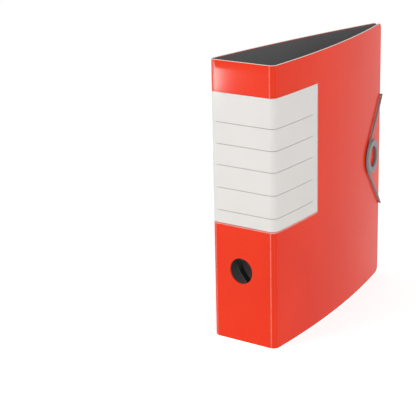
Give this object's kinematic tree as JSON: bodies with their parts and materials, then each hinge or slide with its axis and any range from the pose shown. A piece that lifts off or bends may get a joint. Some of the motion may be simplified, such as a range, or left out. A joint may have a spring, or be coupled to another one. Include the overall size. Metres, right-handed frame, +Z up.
{
  "type": "lever arch file",
  "caption": "Lever arch file standing closed: rigid board spine and covers with rounded folds, finger hole, wrap-round label pocket, elastic closure and a two-hoop lever mechanism inside.",
  "frame": {"origin": "middle of the spine board's lower edge, at the middle of its thickness", "axes": "+Z up along the spine, -Y out of the spine's face, +Y towards the fore edge, +X towards the front cover, -X towards the back cover"},
  "size_m": [0.0841, 0.2919, 0.318],
  "materials": {
    "back_cover_panel": "bright red smooth plastic film on board, satin",
    "back_cover_lining": "dark grey fine-grained lining, matte",
    "back_cover_web": "red film, thin and flexible at the crease",
    "base_plate": "bright nickel-plated steel",
    "bridge": "bright nickel-plated steel",
    "bridge_cap": "black moulded plastic",
    "lever_pin": "bright nickel-plated steel",
    "lever_spring": "bright nickel-plated steel",
    "arch_bearing_lower": "bright nickel-plated steel",
    "arch_bearing_upper": "bright nickel-plated steel",
    "post_bearing_lower": "bright nickel-plated steel",
    "post_bearing_upper": "bright nickel-plated steel",
    "post_shaft_block": "black moulded plastic",
    "rivet_near_lower": "bright nickel-plated steel",
    "rivet_near_upper": "bright nickel-plated steel",
    "rivet_far_lower": "bright nickel-plated steel",
    "rivet_far_upper": "bright nickel-plated steel",
    "elastic_inner_lower": "light grey braided elastic cord",
    "elastic_inner_upper": "light grey braided elastic cord",
    "elastic_outer_lower": "grey braided elastic cord",
    "elastic_outer_upper": "grey braided elastic cord",
    "elastic_tie": "grey braided elastic cord",
    "back_fold_strip": "bright red smooth plastic film on board, satin",
    "back_fold_lining": "dark grey fine-grained lining, matte",
    "spine_panel": "bright red smooth plastic film on board, satin",
    "spine_lining": "dark grey fine-grained lining, matte",
    "spine_back_web": "red film, thin and flexible at the crease",
    "spine_front_web": "red film, thin and flexible at the crease",
    "label_card": "off-white card with thin grey ruled lines",
    "label_pocket": "clear film pocket, glossy",
    "front_fold_strip": "bright red smooth plastic film on board, satin",
    "front_fold_lining": "dark grey fine-grained lining, matte",
    "front_cover_panel": "bright red smooth plastic film on board, satin",
    "front_cover_lining": "dark grey fine-grained lining, matte",
    "front_cover_web": "red film, thin and flexible at the crease",
    "ring_button": "grey moulded plastic, satin",
    "ring_backing": "dark grey moulded plastic, matte",
    "elastic_loop": "grey braided elastic cord",
    "lever": "bright nickel-plated steel",
    "arch_frame": "bright nickel-plated steel",
    "post_frame": "bright nickel-plated steel"
  },
  "bodies": {
    "back_cover": {"back_cover_panel": "back_cover_panel", "back_cover_lining": "back_cover_lining", "back_cover_web": "back_cover_web", "base_plate": "base_plate", "bridge": "bridge", "bridge_cap": "bridge_cap", "lever_pin": "lever_pin", "lever_spring": "lever_spring", "arch_bearing_lower": "arch_bearing_lower", "arch_bearing_upper": "arch_bearing_upper", "post_bearing_lower": "post_bearing_lower", "post_bearing_upper": "post_bearing_upper", "post_shaft_block": "post_shaft_block", "rivet_near_lower": "rivet_near_lower", "rivet_near_upper": "rivet_near_upper", "rivet_far_lower": "rivet_far_lower", "rivet_far_upper": "rivet_far_upper", "elastic_inner_lower": "elastic_inner_lower", "elastic_inner_upper": "elastic_inner_upper", "elastic_outer_lower": "elastic_outer_lower", "elastic_outer_upper": "elastic_outer_upper", "elastic_tie": "elastic_tie"},
    "back_fold": {"back_fold_strip": "back_fold_strip", "back_fold_lining": "back_fold_lining"},
    "spine": {"spine_panel": "spine_panel", "spine_lining": "spine_lining", "spine_back_web": "spine_back_web", "spine_front_web": "spine_front_web", "label_card": "label_card", "label_pocket": "label_pocket"},
    "front_fold": {"front_fold_strip": "front_fold_strip", "front_fold_lining": "front_fold_lining"},
    "front_cover": {"front_cover_panel": "front_cover_panel", "front_cover_lining": "front_cover_lining", "front_cover_web": "front_cover_web", "ring_button": "ring_button", "ring_backing": "ring_backing"},
    "elastic": {"elastic_loop": "elastic_loop"},
    "lever": {"lever": "lever"},
    "arch": {"arch_frame": "arch_frame"},
    "post": {"post_frame": "post_frame"}
  },
  "joints": [
    {"name": "spine_hinge", "type": "hinge", "parent": "back_cover", "child": "back_fold", "pos_m": [-0.04145, 0.00488, 0.159], "axis": [0, 0, -1], "range_deg": [0, 50], "deforming": ["back_cover_web"]},
    {"name": "spine_crease_hinge", "type": "hinge", "parent": "back_fold", "child": "spine", "pos_m": [-0.03625, -0.0008, 0.159], "axis": [0, 0, -1], "range_deg": [0, 50], "deforming": ["spine_back_web"]},
    {"name": "front_hinge", "type": "hinge", "parent": "spine", "child": "front_fold", "pos_m": [0.03625, -0.0008, 0.159], "axis": [0, 0, -1], "range_deg": [0, 90], "deforming": ["label_card", "label_pocket", "elastic_loop", "spine_front_web"]},
    {"name": "front_cover_hinge", "type": "hinge", "parent": "front_fold", "child": "front_cover", "pos_m": [0.04172, 0.00462, 0.159], "axis": [0, 0, -1], "range_deg": [0, 90], "deforming": ["front_cover_web"]},
    {"name": "elastic_swing", "type": "hinge", "parent": "back_cover", "child": "elastic", "pos_m": [0.00582, 0.28637, 0.159], "axis": [0, 0, 1], "range_deg": [0, 180]},
    {"name": "lever_hinge", "type": "hinge", "parent": "back_cover", "child": "lever", "pos_m": [-0.02311, 0.03739, 0.161], "axis": [-0.1048, -0.9945, 0], "range_deg": [0, 20]},
    {"name": "arch_hinge", "type": "hinge", "parent": "back_cover", "child": "arch", "pos_m": [-0.03235, 0.02604, 0.159], "axis": [0, 0, -1], "range_deg": [0, 13]},
    {"name": "post_hinge", "type": "hinge", "parent": "back_cover", "child": "post", "pos_m": [-0.02952, 0.05289, 0.159], "axis": [0, 0, 1], "range_deg": [0, 88]}
  ],
  "couplings": [
    {"joint": "spine_crease_hinge", "follows": "spine_hinge", "ratio": 1},
    {"joint": "front_cover_hinge", "follows": "front_hinge", "ratio": 1},
    {"joint": "elastic_swing", "follows": "front_hinge", "ratio": 2},
    {"joint": "arch_hinge", "follows": "lever_hinge", "ratio": 0.65},
    {"joint": "post_hinge", "follows": "lever_hinge", "ratio": 4.4}
  ]
}
